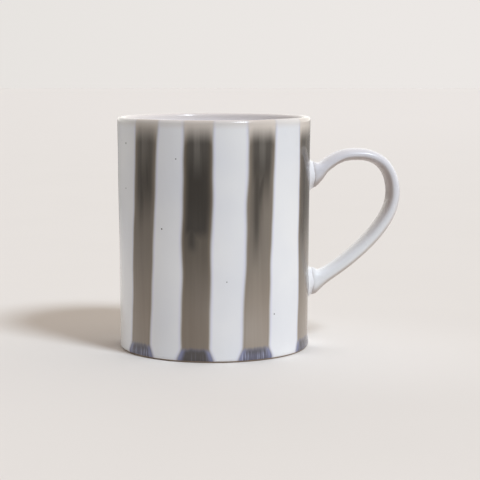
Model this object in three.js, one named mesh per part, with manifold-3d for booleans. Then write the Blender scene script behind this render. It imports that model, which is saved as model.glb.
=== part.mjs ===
// A straight-sided ceramic mug with a looped strap handle, in millimetres, +Z up.
// The origin is the centre of the flat foot, on the axis of the cup, and the handle points along +X.
// It is put together as a potter does it: a cast cup, a pulled strap, and a pad of joining slip
// between each end of the strap and the wall.
import * as THREE from "three";
import { LoftGeometry } from "three/addons/geometries/LoftGeometry.js";
import { mergeVertices } from "three/addons/utils/BufferGeometryUtils.js";
import Module from "manifold-3d";

// Cup
const cupHeight = 98;
const mouthRadius = 41; // outside, at the rim
const footRadius = 40.35; // outside, just above the foot
const wallCurve = 1.65; // power of the wall's rise: above 1, it opens out mostly near the rim
const wallThickness = 4;
const lipThickness = 3.2;
const lipTaperLength = 14; // the wall thins to the lip over this length
const floorThickness = 6;
const floorCornerRadius = 8; // inside, between wall and floor
const footChamfer = 0.8; // bare edge round the flat foot

// Strap handle. Reaches are measured out from the wall, at mid-section.
const strapThickness = 5.5;
const strapWidthTop = 13.6;
const strapWidthBottom = 11.2;
const strapRoundness = 2.4; // power of the section's outline: 2 is an ellipse, more is squarer
const upperRootBelowRim = 25.3;
const lowerRootHeight = 26.8; // above the table
const rootHeight = 10.8; // the strap's ends spread to this height where they meet the cup
const rootSpreadLength = 6.5; // along the centreline
const crownReach = 21.4; // the top of the loop
const crownRise = 8.7; // above the upper root
const bowReach = 37.1; // the outermost point of the loop
const bowDrop = 17.4; // below the crown
const upperRootSlope = 41; // degrees above level, leaving the wall
const lowerRootSlope = 10;
const upperRootPull = 12.5; // how far each end or turn of the centreline holds its direction
const crownPull = 7;
const bowPullUp = 13.5;
const bowPullDown = 16.3;
const lowerRootPull = 4;

// Slip pads between the strap's ends and the wall
const slipThickness = 2.2;
const slipMargin = 0.5; // how far a pad shows round the strap's end
const fitGap = 0.3; // clearance between touching pieces

// Fineness of the faceting
const turnSegments = 72;
const wallSteps = 8;
const lipSteps = 8;
const cornerSteps = 6;
const sectionSides = 24;
const arcSteps = 14; // along each of the handle's three arcs
const padSides = 40;

const clayInside = 3; // how far a handle blank starts inside the wall before it is trimmed

const wasm = await Module();
wasm.setup();

function smooth(share) {
  const t = THREE.MathUtils.clamp(share, 0, 1);
  return t * t * (3 - 2 * t);
}

// Outside radius of the cup at a height above the table.
function wallRadius(z) {
  const rise = THREE.MathUtils.clamp(z / cupHeight, 0, 1);
  return footRadius + (mouthRadius - footRadius) * rise ** wallCurve;
}

function wallThicknessAt(z) {
  const taperShare = (z - (cupHeight - lipTaperLength)) / lipTaperLength;
  return THREE.MathUtils.lerp(wallThickness, lipThickness, smooth(taperShare));
}

// Turned solid: profile points are (radius, height), from the axis round to the axis, foot first.
function turned(profile) {
  const geometry = new THREE.LatheGeometry(profile, turnSegments);
  return geometry.rotateX(Math.PI / 2);
}

function toSolid(geometry) {
  const bare = new THREE.BufferGeometry().copy(geometry);
  bare.deleteAttribute("normal");
  bare.deleteAttribute("uv");
  const merged = mergeVertices(bare);
  const mesh = new wasm.Mesh({
    numProp: 3,
    vertProperties: merged.attributes.position.array,
    triVerts: new Uint32Array(merged.index.array),
  });
  return new wasm.Manifold(mesh);
}

function toGeometry(solid) {
  const mesh = solid.getMesh();
  const geometry = new THREE.BufferGeometry();
  geometry.setAttribute("position", new THREE.BufferAttribute(mesh.vertProperties, 3));
  geometry.setIndex(new THREE.BufferAttribute(mesh.triVerts, 1));
  geometry.computeVertexNormals();
  return geometry;
}

// Everything within the cup's outside surface grown by a distance, with no hollow: it trims what
// stands against the wall.
function cupEnvelope(growth) {
  const reachBeyond = 20; // past the rim and below the foot
  const profile = [new THREE.Vector2(0, -reachBeyond)];
  profile.push(new THREE.Vector2(wallRadius(0) + growth, -reachBeyond));
  for (let i = 0; i <= wallSteps; i += 1) {
    const z = (cupHeight * i) / wallSteps;
    profile.push(new THREE.Vector2(wallRadius(z) + growth, z));
  }
  profile.push(new THREE.Vector2(mouthRadius + growth, cupHeight + reachBeyond));
  profile.push(new THREE.Vector2(0, cupHeight + reachBeyond));
  return toSolid(turned(profile));
}

function cupBody() {
  const lipRadius = lipThickness / 2;
  const shoulder = cupHeight - lipRadius; // where the rounded lip starts
  const profile = [new THREE.Vector2(0, 0)];
  profile.push(new THREE.Vector2(wallRadius(0) - footChamfer, 0));
  for (let i = 0; i <= wallSteps; i += 1) {
    const z = THREE.MathUtils.lerp(footChamfer, shoulder, i / wallSteps);
    profile.push(new THREE.Vector2(wallRadius(z), z));
  }
  const lipCentre = wallRadius(shoulder) - lipRadius;
  for (let i = 1; i < lipSteps; i += 1) {
    const turn = (Math.PI * i) / lipSteps;
    const x = lipCentre + lipRadius * Math.cos(turn);
    profile.push(new THREE.Vector2(x, shoulder + lipRadius * Math.sin(turn)));
  }
  const cornerTop = floorThickness + floorCornerRadius;
  for (let i = 0; i <= wallSteps; i += 1) {
    const z = THREE.MathUtils.lerp(shoulder, cornerTop, i / wallSteps);
    profile.push(new THREE.Vector2(wallRadius(z) - wallThicknessAt(z), z));
  }
  const cornerCentre = wallRadius(cornerTop) - wallThicknessAt(cornerTop) - floorCornerRadius;
  for (let i = 1; i <= cornerSteps; i += 1) {
    const turn = (Math.PI / 2) * (i / cornerSteps);
    const x = cornerCentre + floorCornerRadius * Math.cos(turn);
    profile.push(new THREE.Vector2(x, cornerTop - floorCornerRadius * Math.sin(turn)));
  }
  profile.push(new THREE.Vector2(0, floorThickness));
  return turned(profile);
}

// The strap's ends and turning points, each on the handle's own plane, y = 0.
const upperRootHeight = cupHeight - upperRootBelowRim;
const crownHeight = upperRootHeight + crownRise;
const bowHeight = crownHeight - bowDrop;

function rootCentre(z) {
  const padFace = wallRadius(z) + fitGap + slipThickness;
  return new THREE.Vector3(padFace, 0, z);
}

function slope(degrees) {
  const angle = THREE.MathUtils.degToRad(degrees);
  return new THREE.Vector3(Math.cos(angle), 0, Math.sin(angle));
}

const upperRoot = rootCentre(upperRootHeight);
const lowerRoot = rootCentre(lowerRootHeight);
const crown = new THREE.Vector3(wallRadius(upperRootHeight) + crownReach, 0, crownHeight);
const bow = new THREE.Vector3(wallRadius(bowHeight) + bowReach, 0, bowHeight);

// Centreline of the strap, from the upper root over the crown and the bow to the lower root.
function strapArcs() {
  const out = new THREE.Vector3(1, 0, 0);
  const up = new THREE.Vector3(0, 0, 1);
  const leave = slope(upperRootSlope);
  const arrive = slope(lowerRootSlope);
  const along = (point, direction, length) => point.clone().addScaledVector(direction, length);
  return [
    new THREE.LineCurve3(along(upperRoot, leave, -clayInside), upperRoot),
    new THREE.CubicBezierCurve3(
      upperRoot,
      along(upperRoot, leave, upperRootPull),
      along(crown, out, -crownPull),
      crown,
    ),
    new THREE.CubicBezierCurve3(crown, along(crown, out, crownPull), along(bow, up, bowPullUp), bow),
    new THREE.CubicBezierCurve3(
      bow,
      along(bow, up, -bowPullDown),
      along(lowerRoot, arrive, lowerRootPull),
      lowerRoot,
    ),
    new THREE.LineCurve3(lowerRoot, along(lowerRoot, arrive, -clayInside)),
  ];
}

// One cross-section of the strap: a rounded oblong, thin along `across` and wide along Y.
function strapSection(centre, across, thickness, width) {
  const points = [];
  for (let i = 0; i < sectionSides; i += 1) {
    const turn = (2 * Math.PI * i) / sectionSides;
    const c = Math.cos(turn);
    const s = Math.sin(turn);
    const point = centre.clone();
    point.addScaledVector(across, (thickness / 2) * Math.sign(c) * Math.abs(c) ** (2 / strapRoundness));
    point.y -= (width / 2) * Math.sign(s) * Math.abs(s) ** (2 / strapRoundness);
    points.push(point);
  }
  return points;
}

// The strap before its ends are trimmed to the pads. Near each root the sections turn upright
// and spread, so the end lies flat against the cup.
function strapBlank() {
  const points = [];
  const tangents = [];
  strapArcs().forEach((arc) => {
    const steps = arc.isLineCurve3 ? 1 : arcSteps;
    for (let i = points.length ? 1 : 0; i <= steps; i += 1) {
      points.push(arc.getPoint(i / steps));
      tangents.push(arc.getTangent(i / steps));
    }
  });
  const travelled = [0];
  for (let i = 1; i < points.length; i += 1) {
    travelled.push(travelled[i - 1] + points[i].distanceTo(points[i - 1]));
  }
  const total = travelled[travelled.length - 1];
  const upright = new THREE.Vector3(0, 0, 1);
  const sections = points.map((centre, i) => {
    const share = travelled[i] / total;
    const fromEnd = Math.min(travelled[i], total - travelled[i]) - clayInside;
    const spread = 1 - smooth(fromEnd / rootSpreadLength);
    const side = share < 0.5 ? upright : upright.clone().negate();
    const across = new THREE.Vector3(-tangents[i].z, 0, tangents[i].x);
    across.lerp(side, spread).normalize();
    const thickness = THREE.MathUtils.lerp(strapThickness, rootHeight, spread);
    const width = THREE.MathUtils.lerp(strapWidthTop, strapWidthBottom, smooth(share));
    return strapSection(centre, across, thickness, width);
  });
  return toSolid(new LoftGeometry(sections, { capStart: true, capEnd: true }));
}

function handleStrap() {
  const keptClear = cupEnvelope(fitGap + slipThickness + fitGap);
  return toGeometry(strapBlank().subtract(keptClear));
}

// A pad of slip: an oval button against the wall, a little larger than the strap's end.
function slipCollar(root, strapWidth) {
  const oval = new THREE.Shape();
  oval.absellipse(0, 0, strapWidth / 2 + slipMargin, rootHeight / 2 + slipMargin, 0, 2 * Math.PI);
  const depth = 2 * clayInside + slipThickness;
  const button = new THREE.ExtrudeGeometry(oval, {
    depth,
    bevelEnabled: false,
    curveSegments: padSides,
  });
  const faceOutwards = new THREE.Matrix4().makeBasis(
    new THREE.Vector3(0, 1, 0),
    new THREE.Vector3(0, 0, 1),
    new THREE.Vector3(1, 0, 0),
  );
  button.applyMatrix4(faceOutwards);
  button.translate(root.x - depth + clayInside, 0, root.z);
  const outerFace = cupEnvelope(fitGap + slipThickness);
  const wallClear = cupEnvelope(fitGap);
  return toGeometry(toSolid(button).intersect(outerFace).subtract(wallClear));
}

function piece(name, geometry, color, roughness) {
  const material = new THREE.MeshStandardMaterial({ color, roughness, metalness: 0 });
  const mesh = new THREE.Mesh(geometry, material);
  mesh.name = name;
  return mesh;
}

const mug = new THREE.Group();
mug.add(piece("cup_body", cupBody(), 0xd9dbe0, 0.15));

const handle = new THREE.Group();
handle.add(piece("handle_strap", handleStrap(), 0xdfe1e6, 0.15));
handle.add(piece("upper_slip_collar", slipCollar(upperRoot, strapWidthTop), 0xe6e8ec, 0.2));
handle.add(piece("lower_slip_collar", slipCollar(lowerRoot, strapWidthBottom), 0xe6e8ec, 0.2));
mug.add(handle);

export default mug;
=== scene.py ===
import math

import bpy
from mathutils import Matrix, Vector
from mathutils.geometry import interpolate_bezier


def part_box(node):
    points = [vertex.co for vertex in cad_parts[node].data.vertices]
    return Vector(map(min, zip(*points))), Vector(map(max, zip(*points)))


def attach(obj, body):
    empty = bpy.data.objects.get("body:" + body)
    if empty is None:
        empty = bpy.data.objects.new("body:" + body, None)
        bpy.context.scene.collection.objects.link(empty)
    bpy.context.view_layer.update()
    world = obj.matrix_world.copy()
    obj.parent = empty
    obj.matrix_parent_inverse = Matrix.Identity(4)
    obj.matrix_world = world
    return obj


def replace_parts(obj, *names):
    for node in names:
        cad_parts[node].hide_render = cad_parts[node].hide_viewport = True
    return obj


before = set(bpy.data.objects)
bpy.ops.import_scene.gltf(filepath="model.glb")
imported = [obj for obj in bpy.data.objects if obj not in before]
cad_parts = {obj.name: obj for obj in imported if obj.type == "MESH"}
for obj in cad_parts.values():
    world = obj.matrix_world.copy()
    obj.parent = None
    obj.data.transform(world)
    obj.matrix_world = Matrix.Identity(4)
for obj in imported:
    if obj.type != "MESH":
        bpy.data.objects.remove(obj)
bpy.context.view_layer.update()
bpy.ops.object.select_all(action="DESELECT")


# ---------------------------------------------------------------------------------------------
# The cup: one piece of pale stoneware with a flat bare foot, a wall that opens out a little
# towards the mouth, a thin half-round lip and a rounded corner between wall and floor. It is
# dipped in white glaze, which stops just above the foot, over nine upright brush strokes.
# ---------------------------------------------------------------------------------------------
mm = 0.001
cup_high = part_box("cup_body")[1]
cup_height = cup_high.z
mouth_radius = cup_high.x
wall_opens_out = 0.63 * mm
foot_radius = mouth_radius - wall_opens_out
wall_curve = 1.65
wall_thickness = 4.0 * mm
lip_thickness = 3.2 * mm
lip_taper_length = 14 * mm
floor_thickness = 6 * mm
floor_corner_radius = 8 * mm
cup_sides = 96
foot_chamfer_width = 0.45 * mm
foot_chamfer_height = 0.42 * mm
foot_edge_width = 0.35 * mm
foot_ring_width = 5.2 * mm
foot_dish_depth = 0.45 * mm
foot_dish_slope = 0.5 * mm
foot_dish_easing = 0.6 * mm
flat_foot_height = 3 * mm
bare_foot_height = 0.6 * mm
glaze_thickness = 0.3 * mm


def smooth(share):
    """Eases in and out between 0 and 1."""
    kept = min(max(share, 0.0), 1.0)
    return kept * kept * (3 - 2 * kept)


def wall_radius(height):
    rise = min(max(height / cup_height, 0.0), 1.0)
    return foot_radius + (mouth_radius - foot_radius) * rise**wall_curve


def wall_thickness_at(height):
    share = smooth((height - (cup_height - lip_taper_length)) / lip_taper_length)
    return wall_thickness + (lip_thickness - wall_thickness) * share


def pick_up(piece):
    bpy.ops.object.select_all(action="DESELECT")
    bpy.context.view_layer.objects.active = piece
    piece.select_set(True)


def edit(piece):
    pick_up(piece)
    bpy.ops.object.mode_set(mode="EDIT")


def finish_edit():
    bpy.ops.object.mode_set(mode="OBJECT")


def apply_modifiers(piece):
    bpy.context.view_layer.objects.active = piece
    for modifier in list(piece.modifiers):
        bpy.ops.object.modifier_apply(modifier=modifier.name)


def settle(piece):
    """Leaves the piece's place in its mesh, with the object at the origin, and shades it smooth."""
    pick_up(piece)
    bpy.ops.object.transform_apply(location=True, rotation=True, scale=True)
    edit(piece)
    bpy.ops.mesh.select_all(action="SELECT")
    bpy.ops.mesh.normals_make_consistent(inside=False)
    finish_edit()
    bpy.ops.object.shade_smooth()


def round_off(piece, levels):
    rounding = piece.modifiers.new("rounding", "SUBSURF")
    rounding.levels = levels
    rounding.render_levels = levels


def leave_uneven(piece, name, lump_size, depth):
    """Takes the surface down by up to the depth in soft lumps, as hands and tools leave clay."""
    lumps = bpy.data.textures.new(name, "CLOUDS")
    lumps.noise_scale = lump_size
    uneven = piece.modifiers.new(name, "DISPLACE")
    uneven.texture = lumps
    uneven.texture_coords = "LOCAL"
    uneven.mid_level = 1.0
    uneven.strength = depth
    return uneven


def cup_rings():
    """(radius, height) of each ring, up the outside, over the lip, down the inside and in."""
    rings = [
        (foot_radius - glaze_thickness, foot_chamfer_height),
        (foot_radius - glaze_thickness, bare_foot_height),
        (foot_radius - 0.12 * mm, bare_foot_height + 0.12 * mm),
        (foot_radius, bare_foot_height + 0.55 * mm),
    ]
    shoulder = cup_height - lip_thickness / 2
    for share in (0.02, 0.045, 0.09, 0.16, 0.26, 0.36, 0.46, 0.56, 0.66, 0.76, 0.85, 0.92, 0.965, 1):
        rings.append((wall_radius(shoulder * share), shoulder * share))
    lip_centre = wall_radius(shoulder) - lip_thickness / 2
    lip_steps = 10
    for i in range(1, lip_steps):
        turn = math.pi * i / lip_steps
        out = lip_thickness / 2 * math.cos(turn)
        rings.append((lip_centre + out, shoulder + lip_thickness / 2 * math.sin(turn)))
    corner_top = floor_thickness + floor_corner_radius
    for share in (1, 0.965, 0.92, 0.85, 0.76, 0.66, 0.56, 0.46, 0.36, 0.26, 0.14, 0.04, 0):
        height = corner_top + (shoulder - corner_top) * share
        rings.append((wall_radius(height) - wall_thickness_at(height), height))
    corner_centre = rings[-1][0] - floor_corner_radius
    corner_steps = 8
    for i in range(1, corner_steps + 1):
        turn = math.pi / 2 * i / corner_steps
        out = floor_corner_radius * math.cos(turn)
        rings.append((corner_centre + out, corner_top - floor_corner_radius * math.sin(turn)))
    for share in (0.8, 0.55, 0.3, 0.1):
        rings.append((corner_centre * share, floor_thickness))
    return rings


ring_radius = foot_radius - glaze_thickness - foot_chamfer_width
ring_height = 0.0
bpy.ops.mesh.primitive_circle_add(
    vertices=cup_sides, radius=ring_radius, fill_type="NGON", location=(0, 0, 0)
)
cup = bpy.context.object
cup.name = "glazed_cup"
edit(cup)
for radius, height in cup_rings():
    rise = height - ring_height
    bpy.ops.mesh.extrude_region_move(TRANSFORM_OT_translate={"value": (0, 0, rise)})
    grow = radius / ring_radius
    bpy.ops.transform.resize(value=(grow, grow, 1), center_override=(0, 0, height))
    ring_radius = radius
    ring_height = height
bpy.ops.mesh.select_all(action="DESELECT")
bpy.ops.mesh.select_mode(type="FACE")
finish_edit()

# The underside is turned very slightly hollow, so that the mug stands on a ring.
for face in cup.data.polygons:
    face.select = face.center.z < 0.01 * mm and abs(face.normal.z) > 0.99
edit(cup)
bpy.ops.mesh.inset(thickness=foot_edge_width)
bpy.ops.mesh.inset(thickness=foot_ring_width)
bpy.ops.mesh.inset(thickness=foot_dish_slope)
bpy.ops.transform.translate(value=(0, 0, foot_dish_depth * 0.6))
bpy.ops.mesh.inset(thickness=foot_dish_easing)
bpy.ops.transform.translate(value=(0, 0, foot_dish_depth * 0.4))
for ring_width in (12 * mm, 12 * mm):
    bpy.ops.mesh.inset(thickness=ring_width)
bpy.ops.mesh.select_mode(type="VERT")
finish_edit()
settle(cup)
round_off(cup, 1)

# The wall is a hair uneven, as a cast and sponged wall is. The foot stays flat.
wall_points = [v.index for v in cup.data.vertices if v.co.z > flat_foot_height]
cup.vertex_groups.new(name="wall").add(wall_points, 1.0, "REPLACE")
sponged = leave_uneven(cup, "sponged", 30 * mm, 0.35 * mm)
sponged.texture.noise_depth = 1
sponged.vertex_group = "wall"
apply_modifiers(cup)


def node(tree, kind, **settings):
    """Adds a node of that kind, such as Math, with its settings."""
    made = tree.nodes.new("ShaderNode" + kind)
    for name, value in settings.items():
        setattr(made, name, value)
    return made


def feed(tree, socket, source):
    """Links the socket to another node's output, or sets it to a number or a colour."""
    if isinstance(source, bpy.types.NodeSocket):
        tree.links.new(source, socket)
    else:
        socket.default_value = source


def maths(tree, operation, *terms):
    made = node(tree, "Math", operation=operation)
    for socket, term in zip(made.inputs, terms):
        feed(tree, socket, term)
    return made.outputs[0]


def rising(tree, value, low, high, start=0.0, end=1.0):
    """Goes smoothly from start to end as the value goes from low to high."""
    made = node(tree, "MapRange", interpolation_type="SMOOTHSTEP")
    for socket, term in zip(made.inputs, (value, low, high, start, end)):
        feed(tree, socket, term)
    return made.outputs[0]


def layer(tree, share, under, over):
    """Lays one colour over another, as thickly as the share says."""
    made = node(tree, "Mix", data_type="RGBA")
    feed(tree, made.inputs[0], share)
    feed(tree, made.inputs[6], under)
    feed(tree, made.inputs[7], over)
    return made.outputs[2]


def noise(tree, place, scale, detail, roughness=0.5):
    made = node(tree, "TexNoise")
    feed(tree, made.inputs["Vector"], place)
    made.inputs["Scale"].default_value = scale
    made.inputs["Detail"].default_value = detail
    made.inputs["Roughness"].default_value = roughness
    return made.outputs[0]


def fired(colour):
    """A colour as a potter's chart gives it, six hex digits, as the shader's linear values."""
    parts = [int(colour[i : i + 2], 16) / 255 for i in (0, 2, 4)]
    linear = [p / 12.92 if p < 0.04045 else ((p + 0.055) / 1.055) ** 2.4 for p in parts]
    return (*linear, 1.0)


def new_finish(name):
    made = bpy.data.materials.new(name)
    made.use_nodes = True
    return made, made.node_tree, made.node_tree.nodes["Principled BSDF"]


def give_skin(tree, shader, height, strength, distance):
    bump = node(tree, "Bump")
    bump.inputs["Strength"].default_value = strength
    bump.inputs["Distance"].default_value = distance
    tree.links.new(height, bump.inputs["Height"])
    tree.links.new(bump.outputs["Normal"], shader.inputs["Normal"])


def coat(piece, finish):
    piece.data.materials.clear()
    piece.data.materials.append(finish)


def new_group(name, inputs, outputs):
    tree = bpy.data.node_groups.new(name, "ShaderNodeTree")
    for label, kind in inputs:
        tree.interface.new_socket(label, in_out="INPUT", socket_type="NodeSocket" + kind)
    for label, kind in outputs:
        tree.interface.new_socket(label, in_out="OUTPUT", socket_type="NodeSocket" + kind)
    return tree, tree.nodes.new("NodeGroupInput"), tree.nodes.new("NodeGroupOutput")


# White glaze, as on every piece: soft clouding, a few iron specks, and a skin that is never flat.
specks_per_metre = 150
speck_size = 0.075  # as a share of the space between them
glaze_ior = 1.5
glaze_group, glaze_in, glaze_out = new_group(
    "white_glaze",
    [("Place", "Vector"), ("White", "Color"), ("Cloud", "Color"), ("Specks", "Float")],
    [("Colour", "Color"), ("Roughness", "Float"), ("Skin", "Float")],
)
clouding = rising(glaze_group, noise(glaze_group, glaze_in.outputs["Place"], 26, 2.5), 0.35, 0.7)
glazed = layer(glaze_group, clouding, glaze_in.outputs["White"], glaze_in.outputs["Cloud"])
speck_cells = node(glaze_group, "TexVoronoi")
speck_cells.inputs["Scale"].default_value = specks_per_metre
glaze_group.links.new(glaze_in.outputs["Place"], speck_cells.inputs["Vector"])
speck_draw = node(glaze_group, "SeparateXYZ")
glaze_group.links.new(speck_cells.outputs["Color"], speck_draw.inputs["Vector"])
speck_chance = maths(
    glaze_group, "LESS_THAN", speck_draw.outputs["X"], glaze_in.outputs["Specks"]
)
speck_core = speck_size - 0.04
speck_dot = rising(glaze_group, speck_cells.outputs["Distance"], speck_core, speck_size, 1, 0)
speck = maths(glaze_group, "MULTIPLY", speck_chance, speck_dot)
iron_speck = fired("4c4743")
glaze_group.links.new(layer(glaze_group, speck, glazed, iron_speck), glaze_out.inputs["Colour"])
pooling = noise(glaze_group, glaze_in.outputs["Place"], 42, 1.5)
pitting = noise(glaze_group, glaze_in.outputs["Place"], 900, 1.0)
skin = maths(glaze_group, "ADD", pooling, maths(glaze_group, "MULTIPLY", pitting, 0.03))
glaze_group.links.new(skin, glaze_out.inputs["Skin"])
glaze_group.links.new(
    rising(glaze_group, pooling, 0.2, 0.8, 0.1, 0.2), glaze_out.inputs["Roughness"]
)

# One upright brush stroke of iron wash under the glaze. Lengths are in millimetres.
stroke_sizes = (
    "Half Width",
    "Lean",
    "Left Load Top",
    "Left Load Low",
    "Right Load Top",
    "Right Load Low",
    "Left End",
    "Right End",
    "Wash",
    "Wash End",
    "Iron",
    "Worn",
)
stroke_places = ("Across", "Height", "Wander", "Bristles", "Centre")
stroke_masks = ("Cover", "Depth", "Thin", "Halo", "Edge", "Dark", "Grey", "Pool", "Pool Core")
stroke_group, stroke_in, stroke_out = new_group(
    "brush_stroke",
    [(label, "Float") for label in stroke_places + stroke_sizes],
    [(label, "Float") for label in stroke_masks],
)
lean_pivot_height = 50.0
foot_flare = 1.9
foot_flare_height = 6.5
ragged_reach = 2.6  # how far the bristles shift what they leave
loaded_half_width = 3.4
fade_length = 11.0  # a dark run fades out over this far above and below its end
drift_end_height = 62.0
drift_start_height = 90.0
pool_height = 6.4
worn_edge_height = 97.9
s = {socket.name: socket for socket in stroke_in.outputs if socket.name}
tree = stroke_group

# How far a point is to the side of the stroke's own middle line, which leans and wanders.
from_pivot = maths(tree, "SUBTRACT", s["Height"], lean_pivot_height)
leant = maths(tree, "MULTIPLY", from_pivot, s["Lean"])
aside = maths(tree, "SUBTRACT", maths(tree, "SUBTRACT", s["Across"], s["Centre"]), leant)
aside = maths(tree, "ADD", aside, s["Wander"])

# The stroke spreads at the foot. It is bounded by a soft edge, with a lilac halo outside it.
flare = rising(tree, s["Height"], 0.5, foot_flare_height, foot_flare, 0.0)
half = maths(tree, "ADD", s["Half Width"], flare)
inset = maths(tree, "SUBTRACT", half, maths(tree, "ABSOLUTE", aside))
cover = rising(tree, inset, -0.8, 0.75)
uncovered = maths(tree, "SUBTRACT", 1.0, cover)
halo = maths(tree, "MULTIPLY", rising(tree, inset, -1.7, -0.2), uncovered)
edge = maths(tree, "MULTIPLY", cover, rising(tree, inset, 0.4, 1.7, 1, 0))

# The bristles leave every end ragged, and a stroke with less iron fades over a longer stretch.
bristled = maths(tree, "MULTIPLY", maths(tree, "SUBTRACT", s["Bristles"], 0.5), ragged_reach)
drawn = rising(tree, s["Height"], drift_end_height, drift_start_height, 1, 0)
lighter = maths(tree, "SUBTRACT", 1.25, s["Iron"])
fade_start = maths(tree, "MULTIPLY", lighter, -fade_length)
fade_end = maths(tree, "MULTIPLY", lighter, fade_length)


def load(top, low, end):
    """A dark run where that side of the brush was full: it drifts from top to low, then ends."""
    drift = maths(tree, "MULTIPLY", maths(tree, "SUBTRACT", low, top), drawn)
    away = maths(tree, "ABSOLUTE", maths(tree, "SUBTRACT", aside, maths(tree, "ADD", top, drift)))
    ragged = maths(tree, "MULTIPLY", bristled, 0.5)
    near = rising(tree, maths(tree, "ADD", away, ragged), 0.0, loaded_half_width, 1, 0)
    near = maths(tree, "MULTIPLY", near, 0.9)
    still_full = maths(tree, "SUBTRACT", maths(tree, "ADD", s["Height"], bristled), end)
    return maths(tree, "MULTIPLY", near, rising(tree, still_full, fade_start, fade_end))


left_load = load(s["Left Load Top"], s["Left Load Low"], s["Left End"])
right_load = load(s["Right Load Top"], s["Right Load Low"], s["Right End"])
wash_end = maths(tree, "SUBTRACT", maths(tree, "ADD", s["Height"], bristled), s["Wash End"])
wash = maths(tree, "MULTIPLY", s["Wash"], rising(tree, inset, 0.4, 2.9))
wash = maths(tree, "MULTIPLY", wash, rising(tree, wash_end, fade_start, fade_end))
dark = maths(tree, "MAXIMUM", maths(tree, "MAXIMUM", left_load, right_load), wash)
dark = maths(tree, "MULTIPLY", dark, rising(tree, s["Iron"], 0.0, 1.0, 0.92, 1.0))
dark = maths(tree, "MULTIPLY", dark, cover)

# At the foot the wash runs together into a blue pool, whose upper edge is drawn out in fingers.
fingers = maths(tree, "ADD", s["Height"], maths(tree, "MULTIPLY", bristled, 0.9))
pool = maths(tree, "MULTIPLY", cover, rising(tree, fingers, pool_height - 2.4, pool_height, 1, 0))
pool_core = maths(tree, "MULTIPLY", pool, rising(tree, inset, 0.9, 3.2))

# Near the lip the middle of the brush was dry, and the glaze broke over the stroke's rounded end.
dry = maths(tree, "SUBTRACT", maths(tree, "ABSOLUTE", maths(tree, "ADD", aside, 0.2)), bristled)
dry = maths(tree, "MULTIPLY", rising(tree, dry, 0.6, 3.2, 1, 0), cover)
grey = maths(tree, "MULTIPLY", dry, rising(tree, s["Height"], 72.0, 88.0))
rounded = maths(tree, "MULTIPLY", rising(tree, inset, 0.0, 2.4, 1, 0), 1.3)
top = maths(tree, "ADD", s["Height"], maths(tree, "MULTIPLY", bristled, 0.4))
thin = rising(tree, maths(tree, "ADD", top, rounded), worn_edge_height - 10, worn_edge_height)
thin = maths(tree, "MULTIPLY", maths(tree, "MULTIPLY", cover, thin), s["Worn"])
depth = maths(tree, "MULTIPLY", cover, s["Iron"])
for label, value in zip(stroke_masks, (cover, depth, thin, halo, edge, dark, grey, pool, pool_core)):
    tree.links.new(value, stroke_out.inputs[label])

# Each stroke: where it stands round the cup in degrees, then half its width in millimetres, how
# far it leans for each millimetre of height, where the two loaded runs lie across it at the top
# and low down, and the height that each reaches down to. Next are how strong the wash between them
# is and the height that it reaches, and last how much iron the whole stroke carries and how much
# of it the lip has lost. The fifth is next to the handle.
strokes = (
    (172, 6.0, 0.03, -2.6, -2.4, 2.4, 2.0, 58, 54, 0.8, 56, 0.4, 0.7),
    (-142.8, 6.1, 0.055, -2.2, -1.6, 1.0, 2.4, 58, 64, 0.78, 62, 0.3, 0.68),
    (-106.8, 6.1, 0.019, -2.0, -1.6, 1.8, 1.8, 46, 53, 1.0, 52, 1.0, 0.9),
    (-69.9, 6.0, 0.03, -2.6, -1.8, 3.2, -1.0, 46, 58, 1.0, 70, 0.15, 1.15),
    (-25.5, 8.0, 0.0, -3.6, -3.0, 1.2, 0.8, 48, 50, 0.5, 50, 0.55, 1.35),
    (20, 6.0, -0.02, -2.4, -2.4, 2.8, 2.0, 55, 50, 0.85, 52, 0.6, 0.8),
    (59, 6.2, 0.02, -3.0, -1.2, 2.6, 0.6, 48, 55, 0.5, 60, 0.1, 0.9),
    (97, 6.0, -0.015, -2.2, -2.4, 2.6, 2.2, 54, 48, 0.9, 54, 0.8, 0.7),
    (135, 6.1, 0.025, -2.8, -2.0, 2.2, 1.4, 52, 57, 0.9, 50, 0.3, 0.9),
)

# The bearing jumps from one side to the other half way between two strokes, not on one.
bearing_turn = 15
cup_glaze, tree, shader = new_finish("cup_glaze")
place = node(tree, "TexCoord").outputs["Object"]
turned = node(tree, "Mapping")
turned.inputs["Rotation"].default_value = (0, 0, math.radians(-bearing_turn))
tree.links.new(place, turned.inputs["Vector"])
axes = node(tree, "SeparateXYZ")
tree.links.new(turned.outputs["Vector"], axes.inputs["Vector"])
bearing = maths(tree, "ARCTAN2", axes.outputs["Y"], axes.outputs["X"])
across = maths(tree, "MULTIPLY", bearing, foot_radius / mm)
height = maths(tree, "MULTIPLY", axes.outputs["Z"], 1 / mm)
out_squared = maths(
    tree,
    "ADD",
    maths(tree, "POWER", axes.outputs["X"], 2.0),
    maths(tree, "POWER", axes.outputs["Y"], 2.0),
)
out = maths(tree, "DIVIDE", maths(tree, "SQRT", out_squared), mm)
lip_middle = (mouth_radius - lip_thickness / 2) / mm
outside = rising(tree, out, lip_middle - 0.3, lip_middle + 0.9)

cup_white = fired("e6e6e8")
cup_cloud = fired("dedfe4")
skin_of_glaze = node(tree, "Group", node_tree=glaze_group)
tree.links.new(place, skin_of_glaze.inputs["Place"])
skin_of_glaze.inputs["White"].default_value = cup_white
skin_of_glaze.inputs["Cloud"].default_value = cup_cloud
skin_of_glaze.inputs["Specks"].default_value = 0.3

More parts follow.
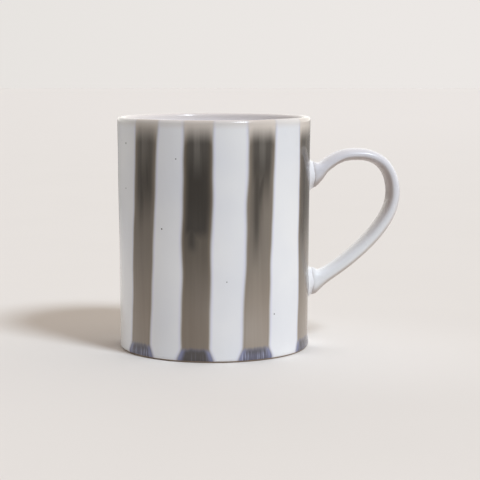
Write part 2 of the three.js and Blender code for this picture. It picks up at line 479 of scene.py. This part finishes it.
drawn_out = 0.035  # along the stroke everything is this much slower to change
hand_wander = 2.2
along_stroke = maths(tree, "MULTIPLY", height, drawn_out)
wander_place = node(tree, "CombineXYZ")
tree.links.new(maths(tree, "MULTIPLY", across, 0.06), wander_place.inputs["X"])
tree.links.new(along_stroke, wander_place.inputs["Y"])
wander = noise(tree, wander_place.outputs["Vector"], 1.0, 1.0)
wander = maths(tree, "MULTIPLY", maths(tree, "SUBTRACT", wander, 0.5), hand_wander)
bristle_place = node(tree, "CombineXYZ")
tree.links.new(across, bristle_place.inputs["X"])
tree.links.new(along_stroke, bristle_place.inputs["Y"])
bristles = noise(tree, bristle_place.outputs["Vector"], 0.45, 2.0, 0.55)

masks = {}
for angle, *sizes in strokes:
    stroke = node(tree, "Group", node_tree=stroke_group)
    seam_free_angle = (angle - bearing_turn + 180) % 360 - 180
    centre = math.radians(seam_free_angle) * foot_radius / mm
    for label, source in zip(stroke_places, (across, height, wander, bristles, centre)):
        feed(tree, stroke.inputs[label], source)
    for label, size in zip(stroke_sizes, sizes):
        stroke.inputs[label].default_value = size
    for socket in stroke.outputs:
        if socket.name in masks:
            masks[socket.name] = maths(tree, "MAXIMUM", masks[socket.name], socket)
        else:
            masks[socket.name] = socket

# The wash is taupe, paler low down, streaked by the bristles, and nearly black where it is loaded.
streaks = rising(tree, bristles, 0.2, 0.8)
higher_up = rising(tree, height, 8.0, 52.0)
pale_low = layer(tree, streaks, fired("95887b"), fired("9c9083"))
pale_high = layer(tree, streaks, fired("7b7269"), fired("837a70"))
deep_low = layer(tree, streaks, fired("796d61"), fired("7f7367"))
deep_high = layer(tree, streaks, fired("574f46"), fired("5f574e"))
pale_taupe = layer(tree, higher_up, pale_low, pale_high)
deep_taupe = layer(tree, higher_up, deep_low, deep_high)
taupe = layer(tree, masks["Depth"], pale_taupe, deep_taupe)
dark_core = layer(tree, streaks, fired("37322d"), fired("3e3934"))
grey_core = layer(tree, streaks, fired("68635d"), fired("6e6963"))
dried = rising(tree, height, 74.0, 88.0, 0.0, 0.35)
dried = maths(tree, "MAXIMUM", maths(tree, "MULTIPLY", masks["Grey"], 0.9), dried)
dark_wash = layer(tree, dried, dark_core, grey_core)
brown_edge = fired("877a69")
painted = layer(tree, maths(tree, "MULTIPLY", masks["Edge"], 0.5), taupe, brown_edge)
painted = layer(tree, masks["Dark"], painted, dark_wash)

# The pool is blue outside and brown in the middle, with milky fingers where there is less iron.
pool_blue = layer(tree, streaks, fired("6a6c89"), fired("8a8ca6"))
painted = layer(tree, masks["Pool"], painted, pool_blue)
core_share = rising(tree, masks["Depth"], 0.0, 1.0, 0.55, 1.0)
core_share = maths(tree, "MULTIPLY", masks["Pool Core"], core_share)
pool_brown = fired("4f4a49")
painted = layer(tree, core_share, painted, pool_brown)
pool_lip = maths(tree, "MULTIPLY", masks["Pool Core"], rising(tree, height, 2.2, 4.2, 0.0, 0.6))
pool_lip_brown = fired("4b4646")
painted = layer(tree, pool_lip, painted, pool_lip_brown)
milky = rising(tree, noise(tree, bristle_place.outputs["Vector"], 1.3, 1.0), 0.52, 0.64)
milky = maths(tree, "MULTIPLY", milky, rising(tree, masks["Depth"], 0.0, 1.0, 0.75, 0.1))
milky = maths(tree, "MULTIPLY", milky, rising(tree, height, 1.5, 5.5, 1, 0))
milky = maths(tree, "MULTIPLY", milky, masks["Pool"])
milky_blue = fired("b2b5cd")
painted = layer(tree, milky, painted, milky_blue)

# Strokes and halo lie on the outside only, and the glaze breaks to beige towards the lip.
thin_beige = fired("d3c9c0")
painted = layer(tree, masks["Thin"], painted, thin_beige)
shown = maths(tree, "MULTIPLY", masks["Cover"], outside)
halo_shown = maths(tree, "MULTIPLY", maths(tree, "MULTIPLY", masks["Halo"], outside), 0.45)
inner_white = fired("f0ecef")
halo_lilac = fired("c3c2dc")
rim_beige = fired("cdc3bc")
colour = layer(tree, outside, inner_white, skin_of_glaze.outputs["Colour"])
colour = layer(tree, halo_shown, colour, halo_lilac)
colour = layer(tree, shown, colour, painted)
rim_break = rising(tree, height, cup_height / mm - 4.5, cup_height / mm - 0.8)
colour = layer(tree, maths(tree, "MULTIPLY", rim_break, 0.6), colour, rim_beige)

# Below the glaze the clay is bare, and darker towards the foot's outer edge.
bare = rising(tree, height, bare_foot_height / mm - 0.1, bare_foot_height / mm + 0.2, 1, 0)
grain = noise(tree, place, 260, 3.0)
clay = layer(tree, grain, fired("b0a190"), fired("c9bcab"))
darker_to_foot_edge = rising(tree, out, foot_radius / mm - 3.0, foot_radius / mm - 0.9)
clay = layer(tree, darker_to_foot_edge, clay, layer(tree, grain, fired("7f6c5d"), fired("a8937f")))
colour = layer(tree, bare, colour, clay)
tree.links.new(colour, shader.inputs["Base Color"])
clay_roughness = maths(tree, "MULTIPLY", bare, 0.75)
rough = maths(tree, "MAXIMUM", skin_of_glaze.outputs["Roughness"], clay_roughness)
tree.links.new(rough, shader.inputs["Roughness"])
shader.inputs["IOR"].default_value = glaze_ior
give_skin(tree, shader, skin_of_glaze.outputs["Skin"], 0.35, 0.6 * mm)
coat(cup, cup_glaze)
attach(cup, "root")
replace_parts(cup, "cup_body")


# ---------------------------------------------------------------------------------------------
# The strap handle: a flat strap of clay pulled by hand, wider at the top than at the bottom, bent
# into a loop that rises before it turns down, and spread at both ends where it is stuck on. It
# has round edges and the same white glaze, with no strokes on it.
# ---------------------------------------------------------------------------------------------
strap_low, strap_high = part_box("handle_strap")
upper_low, upper_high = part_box("upper_slip_collar")
lower_low, lower_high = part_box("lower_slip_collar")
strap_thickness = 5.5 * mm
strap_width_top = strap_high.y - strap_low.y
strap_width_bottom = 11.2 * mm
strap_squareness = 0.56  # 0.5 is a plain oval, 1 is square
strap_thinnest = 0.98  # at the top, as a share of the plain thickness
strap_thickens = 0.17  # by how much more it is at the bottom
root_height = 12.2 * mm
root_spread_length = 4.6 * mm
slip_reach = 2.5 * mm
hidden_in_slip = 2.35 * mm
upper_root_z = (upper_low.z + upper_high.z) / 2
lower_root_z = (lower_low.z + lower_high.z) / 2
upper_root = Vector((wall_radius(upper_root_z) + slip_reach, 0, upper_root_z))
lower_root = Vector((wall_radius(lower_root_z) + slip_reach, 0, lower_root_z))
crown_reach = 21.4 * mm
bow_drop = 17.4 * mm
crown = Vector((wall_radius(upper_root_z) + crown_reach, 0, strap_high.z - strap_thickness / 2))
bow = Vector((strap_high.x - strap_thickness / 2, 0, crown.z - bow_drop))


def aim(slope):
    """A direction in the handle's own plane, in degrees above straight out."""
    return Vector((math.cos(math.radians(slope)), 0, math.sin(math.radians(slope))))


# Each arc leaves and arrives in the direction and with the pull that its two middle points give.
arc_steps = 15
rise_arc = interpolate_bezier(
    upper_root, upper_root + aim(41) * 12.5 * mm, crown - aim(0) * 7 * mm, crown, arc_steps
)
turn_arc = interpolate_bezier(
    crown, crown + aim(0) * 7 * mm, bow + aim(90) * 13.5 * mm, bow, arc_steps
)
fall_arc = interpolate_bezier(
    bow, bow - aim(90) * 16.9 * mm, lower_root + aim(10) * 4 * mm, lower_root, arc_steps
)
strap_line = [upper_root - aim(0) * hidden_in_slip]
strap_line += rise_arc + turn_arc[1:] + fall_arc[1:]
strap_line.append(lower_root - aim(0) * hidden_in_slip)
last = len(strap_line) - 1


def spread_at(i):
    """Gives 1 where the strap is spread out against the slip, and 0 where it is a plain strap."""
    reach = min((strap_line[i] - upper_root).length, (strap_line[i] - lower_root).length)
    if i in (0, last):
        reach = 0
    return 1 - smooth(reach / root_spread_length)


def facing_at(i):
    """Which way the strap's section faces: along the line, but square to the wall at the ends."""
    along = strap_line[min(i + 1, last)] - strap_line[max(i - 1, 0)]
    across = Vector((-along.z, 0, along.x)).normalized()
    side = Vector((0, 0, 1 if i < last / 2 else -1))
    across = across.lerp(side, spread_at(i)).normalized()
    return math.atan2(-across.x, across.z)


def strap_size(i):
    """Thickness and width of the strap at that step of the line."""
    share = smooth(i / last)
    lower_half = smooth(2.6 * i / last - 1.2)
    plain = strap_thickness * (strap_thinnest + strap_thickens * lower_half)
    thickness = plain + (root_height - plain) * spread_at(i)
    return thickness, strap_width_top + (strap_width_bottom - strap_width_top) * share


# The end of the strap, upright against the wall, is drawn out along the line step by step.
thickness, width = strap_size(0)
bpy.ops.mesh.primitive_plane_add(size=1, location=strap_line[0], rotation=(0, math.pi / 2, 0))
strap = bpy.context.object
strap.name = "pulled_strap_handle"
bpy.ops.object.transform_apply(location=True, rotation=True, scale=True)
edit(strap)
bpy.ops.mesh.select_all(action="SELECT")
bpy.ops.mesh.bevel(offset=0.5, segments=6, profile=strap_squareness, affect="VERTICES")
bpy.ops.mesh.remove_doubles(threshold=0.001)
bpy.ops.transform.resize(value=(1, width, thickness), center_override=strap_line[0])
bpy.ops.transform.rotate(
    value=facing_at(0), orient_axis="Y", orient_type="GLOBAL", center_override=strap_line[0]
)
for i in range(1, last + 1):
    step = strap_line[i] - strap_line[i - 1]
    bpy.ops.mesh.extrude_region_move(TRANSFORM_OT_translate={"value": step})
    turn = facing_at(i) - facing_at(i - 1)
    turn = (turn + math.pi) % (2 * math.pi) - math.pi
    bpy.ops.transform.rotate(
        value=turn, orient_axis="Y", orient_type="GLOBAL", center_override=strap_line[i]
    )
    new_thickness, new_width = strap_size(i)
    thicker = new_thickness / thickness
    bpy.ops.transform.resize(
        value=(thicker, new_width / width, thicker), center_override=strap_line[i]
    )
    thickness = new_thickness
    width = new_width
finish_edit()
settle(strap)
round_off(strap, 1)
leave_uneven(strap, "pulled", 12 * mm, 0.3 * mm)
apply_modifiers(strap)


def plain_glaze(name, high, low, specks, painted_shade_share):
    """White glaze with no strokes, whiter lower on the mug, with painted shade on faces turned in
    and down.
    """
    finish, tree, shader = new_finish(name)
    place = node(tree, "TexCoord").outputs["Object"]
    skin_of_glaze = node(tree, "Group", node_tree=glaze_group)
    tree.links.new(place, skin_of_glaze.inputs["Place"])
    axes = node(tree, "SeparateXYZ")
    tree.links.new(place, axes.inputs["Vector"])
    # Whiter lower down and greyer higher up.
    whiter_lower_down = rising(tree, axes.outputs["Z"], 40 * mm, 72 * mm, 1, 0)
    for label, shade in (("White", 1.0), ("Cloud", 0.93)):
        tones = [tuple(c * shade for c in fired(tone)[:3]) + (1.0,) for tone in (high, low)]
        tree.links.new(layer(tree, whiter_lower_down, *tones), skin_of_glaze.inputs[label])
    skin_of_glaze.inputs["Specks"].default_value = specks
    surface = node(tree, "NewGeometry")
    worn = rising(tree, surface.outputs["Pointiness"], 0.51, 0.56)
    edge_share = maths(tree, "MULTIPLY", worn, 0.35)
    worn_beige = fired("cfc7c0")
    colour = layer(tree, edge_share, skin_of_glaze.outputs["Colour"], worn_beige)
    # Painted shade: faces turned in towards the cup and faces turned down, under the loop, are
    # painted greyer, standing in for the shade they lie in.
    painted_shade = 0.0
    for way in ((-0.94, 0, -0.34), (0.3, 0, -0.95)):
        facing = node(tree, "VectorMath", operation="DOT_PRODUCT")
        tree.links.new(surface.outputs["Normal"], facing.inputs[0])
        facing.inputs[1].default_value = way
        turned_to_shade = rising(tree, facing.outputs["Value"], 0.1, 0.85)
        painted_shade = maths(tree, "MAXIMUM", turned_to_shade, painted_shade)
    painted_shade = maths(tree, "MULTIPLY", painted_shade, painted_shade_share)
    painted_shade_grey = fired("b5a8a2")
    colour = layer(tree, painted_shade, colour, painted_shade_grey)
    tree.links.new(colour, shader.inputs["Base Color"])
    rough = maths(tree, "ADD", skin_of_glaze.outputs["Roughness"], 0.12)
    tree.links.new(rough, shader.inputs["Roughness"])
    shader.inputs["IOR"].default_value = glaze_ior
    give_skin(tree, shader, skin_of_glaze.outputs["Skin"], 0.35, 0.5 * mm)
    return finish


# The handle takes a strong share of the painted shade on its inner and lower faces.
coat(strap, plain_glaze("handle_glaze", "dad9df", "e8e9ec", 0.12, 0.8))
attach(strap, "root")
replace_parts(strap, "handle_strap")


# ---------------------------------------------------------------------------------------------
# The slip pads: liquid clay squeezed out between each end of the strap and the wall, wiped with a
# wet finger to a rounded ledge round the strap and a hollow curve onto the wall, then glazed.
# ---------------------------------------------------------------------------------------------
pad_face_depth = 0.1 * mm  # the face under the strap lies this far inside the pad's outer end
pad_buried_size = 0.78
pad_narrowing = 0.715
# How far the pad spreads, as a share of its size, against how far it stands off the wall.
pad_profile = (
    (0.93, 1.0),
    (0.97, 0.85),
    (1.0, 0.7),
    (1.025, 0.56),
    (1.055, 0.43),
    (1.09, 0.32),
    (1.14, 0.21),
    (1.2, 0.1),
    (1.28, 0.0),
    (1.34, -0.12),
)


def slip_pad(name, low, high):
    """Drawn from under the strap's end back to the wall, then bent round the wall's curve."""
    middle_z = (low.z + high.z) / 2
    half_height = (high.z - low.z) / 2
    half_width = (high.y - low.y) / 2
    wall = wall_radius(middle_z)
    ledge = high.x - wall
    size = pad_buried_size
    x = high.x - pad_face_depth
    bpy.ops.mesh.primitive_circle_add(
        vertices=40, radius=1, fill_type="NGON", location=(0, 0, 0), rotation=(0, math.pi / 2, 0)
    )
    pad = bpy.context.object
    pad.name = name
    pad.scale = (half_height * pad_buried_size, half_width * pad_narrowing, 1)
    pad.location = (x, 0, middle_z)
    bpy.ops.object.transform_apply(location=True, rotation=True, scale=True)
    edit(pad)
    bpy.ops.mesh.select_all(action="SELECT")
    for new_size, stand_off in pad_profile:
        new_x = wall + ledge * stand_off
        bpy.ops.mesh.extrude_region_move(TRANSFORM_OT_translate={"value": (new_x - x, 0, 0)})
        grow = new_size / size
        bpy.ops.transform.resize(value=(1, grow, grow), center_override=(new_x, 0, middle_z))
        size = new_size
        x = new_x
    finish_edit()
    settle(pad)
    for vertex in pad.data.vertices:
        wall_falls_away = wall - math.sqrt(wall**2 - vertex.co.y**2)
        vertex.co.x -= wall_falls_away * smooth((wall + ledge - vertex.co.x) / ledge * 1.4)
    round_off(pad, 2)
    leave_uneven(pad, "wiped", 8 * mm, 0.25 * mm)
    apply_modifiers(pad)
    coat(pad, slip_glaze)
    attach(pad, "root")
    return pad


# The slip pads take only a little of the painted shade.
slip_glaze = plain_glaze("slip_glaze", "e2e2e7", "e6e6ea", 0.08, 0.1)
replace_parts(slip_pad("upper_slip_pad", upper_low, upper_high), "upper_slip_collar")
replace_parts(slip_pad("lower_slip_pad", lower_low, lower_high), "lower_slip_collar")


# ---------------------------------------------------------------------------------------------
# The studio: a wide sheet of warm pale board for floor, a backdrop of the same tone, one soft
# light from the right and in front, and the room's own weaker light from the other sides.
# ---------------------------------------------------------------------------------------------
floor_radius = 6
bpy.ops.mesh.primitive_circle_add(
    vertices=64, radius=floor_radius, fill_type="NGON", location=(0, 0, 0)
)
floor = bpy.context.object
floor.name = "studio_floor"
edit(floor)
bpy.ops.mesh.select_all(action="SELECT")
bpy.ops.mesh.inset(thickness=floor_radius / 2)
bpy.ops.mesh.inset(thickness=floor_radius / 3)
finish_edit()
board, tree, shader = new_finish("pale_board")
place = node(tree, "TexCoord").outputs["Object"]
spot = node(tree, "SeparateXYZ")
tree.links.new(place, spot.inputs["Vector"])
far = node(tree, "VectorMath", operation="LENGTH")
tree.links.new(place, far.inputs[0])
paper = layer(tree, noise(tree, place, 9, 4.0), fired("dcd8d5"), fired("dfdbd8"))
# Painted light: the board is painted paler in front of the handle, standing in for light that the
# white mug throws back onto it.
from_bounce_spot = node(tree, "VectorMath", operation="DISTANCE")
tree.links.new(place, from_bounce_spot.inputs[0])
from_bounce_spot.inputs[1].default_value = (50 * mm, -24 * mm, 0)
painted_bounce_light = rising(tree, from_bounce_spot.outputs["Value"], 12 * mm, 110 * mm, 0.4, 0)
paper = layer(tree, painted_bounce_light, paper, fired("efecea"))
from_middle = maths(tree, "ADD", far.outputs["Value"], 10 * mm)
# Painted light: far off, the board is painted lighter to the right, on the side of the soft light,
# to meet the backdrop.
sidelong = maths(tree, "DIVIDE", spot.outputs["X"], from_middle)
far_board_painted_light = layer(tree, rising(tree, sidelong, -0.3, 0.3), fired("dcd8d5"), fired("e1dddb"))
paper = layer(tree, rising(tree, far.outputs["Value"], 0.1, 2.5), paper, far_board_painted_light)

# Away from the mug the board throws less light back up than its own colour would.
beyond = rising(tree, far.outputs["Value"], 0.2, 0.7)
bounced = layer(tree, beyond, fired("dcd7d3"), (0.3, 0.29, 0.28, 1))
direct = node(tree, "LightPath").outputs["Is Camera Ray"]
tree.links.new(layer(tree, direct, bounced, paper), shader.inputs["Base Color"])
shader.inputs["Roughness"].default_value = 0.9
shader.inputs["Specular IOR Level"].default_value = 0.1
give_skin(tree, shader, noise(tree, place, 700, 2.0), 0.1, 0.1 * mm)
coat(floor, board)

room = bpy.data.worlds.new("studio_room")
bpy.context.scene.world = room
room.use_nodes = True
tree = room.node_tree
tree.nodes.clear()
direction = node(tree, "SeparateXYZ")
tree.links.new(node(tree, "TexCoord").outputs["Generated"], direction.inputs["Vector"])
# Light from each side of the room. None comes from below, where the board is.
room_sides = (
    ("X", -1, (0.74, 0.82, 0.84, 1)),
    ("X", 1, (1.26, 1.24, 1.14, 1)),
    ("Y", -1, (0.02, 0.02, 0.02, 1)),  # behind the camera it is dark
    ("Y", 1, (1.37, 1.37, 1.3, 1)),  # the lit backdrop
    ("Z", 1, (0.43, 0.28, 0.19, 1)),  # a warm ceiling
)
room_light = (0, 0, 0, 1)
for axis, sign, colour in room_sides:
    towards = maths(tree, "MAXIMUM", maths(tree, "MULTIPLY", direction.outputs[axis], sign), 0.0)
    added = node(tree, "Mix", data_type="RGBA", blend_type="ADD")
    feed(tree, added.inputs[0], maths(tree, "MULTIPLY", towards, towards))
    feed(tree, added.inputs[6], room_light)
    feed(tree, added.inputs[7], colour)
    room_light = added.outputs[2]
light_of_room = node(tree, "Background")
tree.links.new(room_light, light_of_room.inputs["Color"])
backdrop = node(tree, "Background")
# Painted light: the backdrop is painted lighter to the right, on the side of the soft light.
painted_light_sideways = rising(tree, direction.outputs["X"], -0.3, 0.3)
tree.links.new(
    layer(tree, painted_light_sideways, fired("e4e1dd"), fired("ece8e5")), backdrop.inputs["Color"]
)
seen = node(tree, "MixShader")
tree.links.new(node(tree, "LightPath").outputs["Is Camera Ray"], seen.inputs[0])
tree.links.new(light_of_room.outputs[0], seen.inputs[1])
tree.links.new(backdrop.outputs[0], seen.inputs[2])
tree.links.new(seen.outputs[0], node(tree, "OutputWorld").inputs["Surface"])

bpy.ops.object.light_add(
    type="SUN", location=(1, -1, 2), rotation=(math.radians(42), 0, math.radians(36.5))
)
key = bpy.context.object
key.name = "soft_key"
key.data.energy = 2.35
key.data.angle = math.radians(14)
key.data.color = (0.805, 0.905, 1.0)
bpy.context.scene.view_settings.view_transform = "Standard"


# ---------------------------------------------------------------------------------------------
# The camera: a long lens a little above the rim, which looks slightly down on the mug and slightly
# past it, with the handle turned a few degrees away.
# ---------------------------------------------------------------------------------------------
camera_distance = 619.3 * mm
camera_height = 121 * mm
turned_round = math.radians(6.8)
looks_right = math.radians(1.02)
looks_down = math.radians(6.98)
bpy.ops.object.camera_add(
    location=(
        -math.sin(turned_round) * camera_distance,
        -math.cos(turned_round) * camera_distance,
        camera_height,
    ),
    rotation=(math.pi / 2 - looks_down, 0, -turned_round - looks_right),
)
camera = bpy.context.object
camera.data.lens = 109.6
camera.data.sensor_width = 36
camera.data.clip_start = 0.01
camera.data.clip_end = 100
bpy.context.scene.camera = camera
